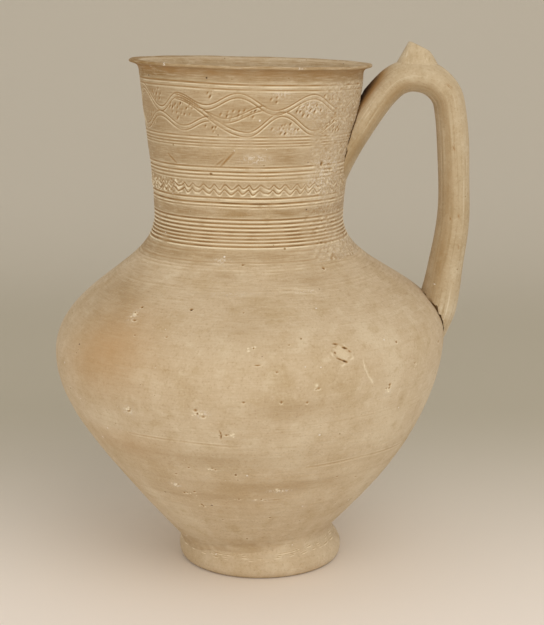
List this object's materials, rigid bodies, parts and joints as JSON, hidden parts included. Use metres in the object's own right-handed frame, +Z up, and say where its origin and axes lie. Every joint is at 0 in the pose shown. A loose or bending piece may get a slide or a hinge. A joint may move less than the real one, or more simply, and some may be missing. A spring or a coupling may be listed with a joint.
{
  "type": "ewer",
  "caption": "Unglazed earthenware ewer with a full belly, flaring incised neck, turned-out lip, ring foot and a strap handle with a thumb rest.",
  "frame": {"origin": "middle of the ewer's footprint, vessel and handle together, at the level that the foot stands on", "axes": "+Z up along the vessel's axis, +X towards the handle, +Y to the back when the handle is on the right"},
  "size_m": [0.2292, 0.2158, 0.29],
  "materials": {
    "buff_clay": "unglazed fired buff earthenware, matt",
    "slip": "fired luting slip, matt"
  },
  "bodies": {
    "root": {"foot_ring": "buff_clay", "foot_luting": "slip", "lower_body": "buff_clay", "belly_luting": "slip", "upper_body": "buff_clay", "neck_luting": "slip", "neck": "buff_clay", "handle": "buff_clay", "upper_handle_luting": "slip", "lower_handle_luting": "slip", "thumb_rest": "buff_clay", "thumb_rest_luting": "slip"}
  },
  "joints": []
}
